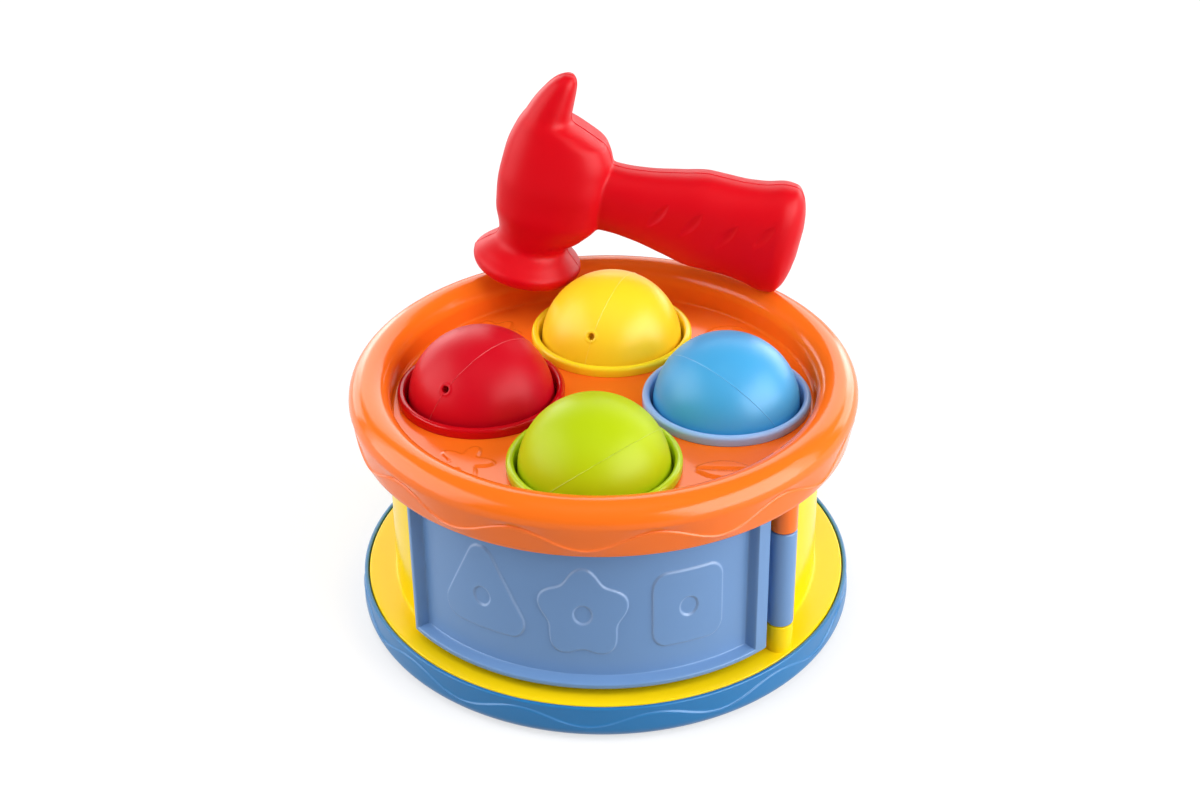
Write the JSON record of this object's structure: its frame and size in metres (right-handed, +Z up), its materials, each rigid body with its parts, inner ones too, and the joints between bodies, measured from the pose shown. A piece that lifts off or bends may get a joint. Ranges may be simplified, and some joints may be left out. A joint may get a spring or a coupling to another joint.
{
  "type": "pounding toy",
  "caption": "Round plastic pounding toy: balls gripped in collars on a rimmed tray, a drum below with a hinged door that lets them out, and a hammer standing on the rim.",
  "frame": {"origin": "on the drum's axis, at the underside of the base", "axes": "+Z up along the drum's axis, the door faces -Y, +X to the right seen from the door"},
  "size_m": [0.1724, 0.1724, 0.1696],
  "materials": {
    "base_blue": "moulded, satin gloss",
    "drum_yellow": "moulded, high gloss",
    "tray_orange": "moulded, high gloss",
    "collar_green": "moulded, high gloss",
    "collar_blue": "moulded, high gloss",
    "collar_yellow": "moulded, high gloss",
    "collar_red": "moulded, high gloss",
    "ball_green": "blow moulded, satin",
    "ball_blue": "blow moulded, satin",
    "ball_yellow": "blow moulded, satin",
    "ball_red": "blow moulded, satin",
    "door_blue": "moulded, satin gloss",
    "hammer_red": "blow moulded, satin",
    "screw_steel": "zinc plated"
  },
  "bodies": {
    "drum": {"base": "base_blue", "drum_body": "drum_yellow", "tray": "tray_orange", "green_collar": "collar_green", "blue_collar": "collar_blue", "yellow_collar": "collar_yellow", "red_collar": "collar_red", "base_screw_1": "screw_steel", "base_screw_2": "screw_steel", "base_screw_3": "screw_steel", "base_screw_4": "screw_steel", "tray_screw_1": "screw_steel", "tray_screw_2": "screw_steel", "tray_screw_3": "screw_steel", "tray_screw_4": "screw_steel"},
    "door_leaf": {"door": "door_blue"},
    "green_drop": {"green_ball": "ball_green"},
    "blue_drop": {"blue_ball": "ball_blue"},
    "yellow_drop": {"yellow_ball": "ball_yellow"},
    "red_drop": {"red_ball": "ball_red"},
    "mallet": {"hammer": "hammer_red"}
  },
  "joints": [
    {"name": "door_hinge", "type": "hinge", "parent": "drum", "child": "door_leaf", "pos_m": [0.06149, -0.04926, 0.04255], "axis": [0, 0, 1], "range_deg": [0, 110]},
    {"name": "green_pound", "type": "slide", "parent": "drum", "child": "green_drop", "axis": [0, 0, -1], "range_m": [0, 0.0384]},
    {"name": "blue_pound", "type": "slide", "parent": "drum", "child": "blue_drop", "axis": [0, 0, -1], "range_m": [0, 0.0384]},
    {"name": "yellow_pound", "type": "slide", "parent": "drum", "child": "yellow_drop", "axis": [0, 0, -1], "range_m": [0, 0.0384]},
    {"name": "red_pound", "type": "slide", "parent": "drum", "child": "red_drop", "axis": [0, 0, -1], "range_m": [0, 0.0384]},
    {"name": "hammer_lift", "type": "slide", "parent": "drum", "child": "mallet", "axis": [0, 0, 1], "range_m": [0, 0.1]}
  ]
}
